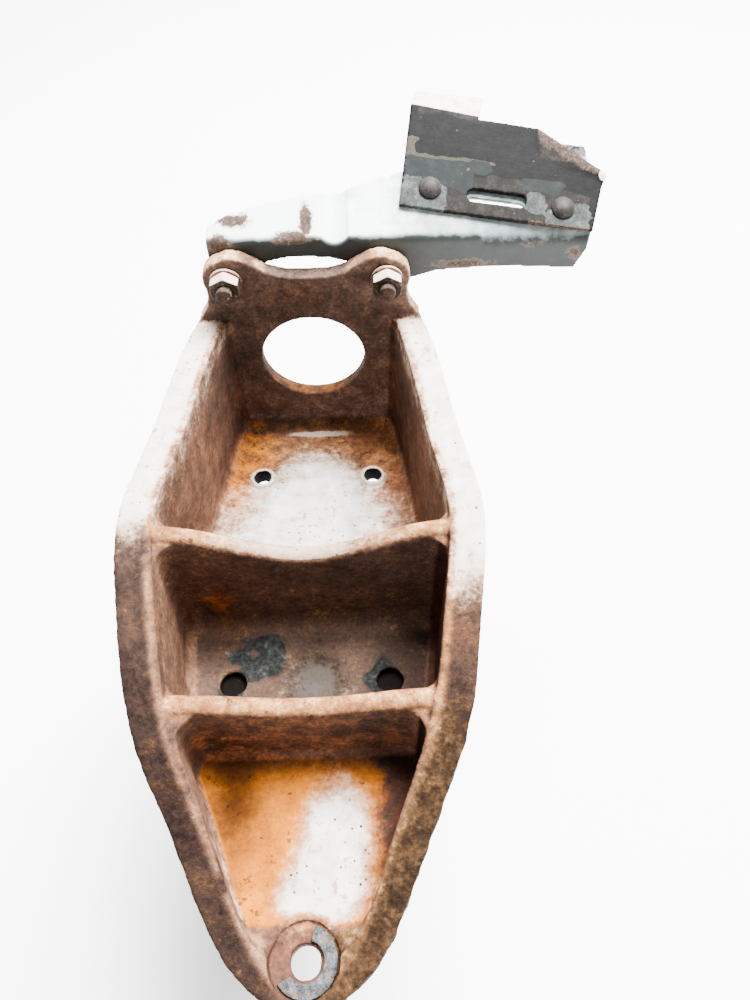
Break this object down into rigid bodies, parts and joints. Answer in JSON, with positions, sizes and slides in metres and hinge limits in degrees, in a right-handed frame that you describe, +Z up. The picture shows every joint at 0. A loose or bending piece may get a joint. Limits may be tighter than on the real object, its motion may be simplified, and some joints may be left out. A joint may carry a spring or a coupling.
{
  "type": "spare tire carrier",
  "caption": "Cast bucket-shaped spare tire carrier arm with eared mount wall, cross ribs, tip bolt hole and a bolted sheet bracket carrying a riveted slotted plate.",
  "frame": {"origin": "centre of the tip bolt hole on its machined seat", "axes": "+Z up along the tip bolt hole, +Y along the arm from the tip to the mount wall, +X to the right seen from the tip"},
  "size_m": [0.2738, 0.4671, 0.2017],
  "materials": {
    "casting_paint": "old white paint over rough orange and brown rust",
    "bracket_paint": "chalky pale blue-grey paint with rust patches",
    "black_paint": "worn black paint flaking to blue-grey paint, rusty edges",
    "rivet_steel": "grey-brown painted rivet heads, lightly rusted",
    "rusty_steel": "heavily rusted plain steel with traces of white paint",
    "washer_metal": "blue-grey corroded broken washer with rust"
  },
  "bodies": {
    "carrier": {"carrier_casting": "casting_paint", "upper_bracket": "bracket_paint", "slotted_bracket": "black_paint", "left_rivet": "rivet_steel", "right_rivet": "rivet_steel", "tip_washer": "washer_metal", "left_bolt": "rusty_steel", "right_bolt": "rusty_steel"},
    "left_washer": {"left_washer": "rusty_steel"},
    "left_nut": {"left_nut": "rusty_steel"},
    "right_washer": {"right_washer": "rusty_steel"},
    "right_nut": {"right_nut": "rusty_steel"}
  },
  "joints": [
    {"name": "left_washer_slide", "type": "slide", "parent": "carrier", "child": "left_washer", "axis": [0, -1, 0], "range_m": [0, 0.012]},
    {"name": "left_nut_turn", "type": "hinge", "parent": "left_washer", "child": "left_nut", "pos_m": [-0.049, 0.34, 0.112], "axis": [0, -1, 0], "range_deg": [0, 2880]},
    {"name": "right_washer_slide", "type": "slide", "parent": "carrier", "child": "right_washer", "axis": [0, -1, 0], "range_m": [0, 0.012]},
    {"name": "right_nut_turn", "type": "hinge", "parent": "right_washer", "child": "right_nut", "pos_m": [0.049, 0.34, 0.112], "axis": [0, -1, 0], "range_deg": [0, 2880]}
  ],
  "couplings": [
    {"joint": "left_washer_slide", "follows": "left_nut_turn", "m_per_rad": 0.00023873},
    {"joint": "right_washer_slide", "follows": "right_nut_turn", "m_per_rad": 0.00023873}
  ]
}
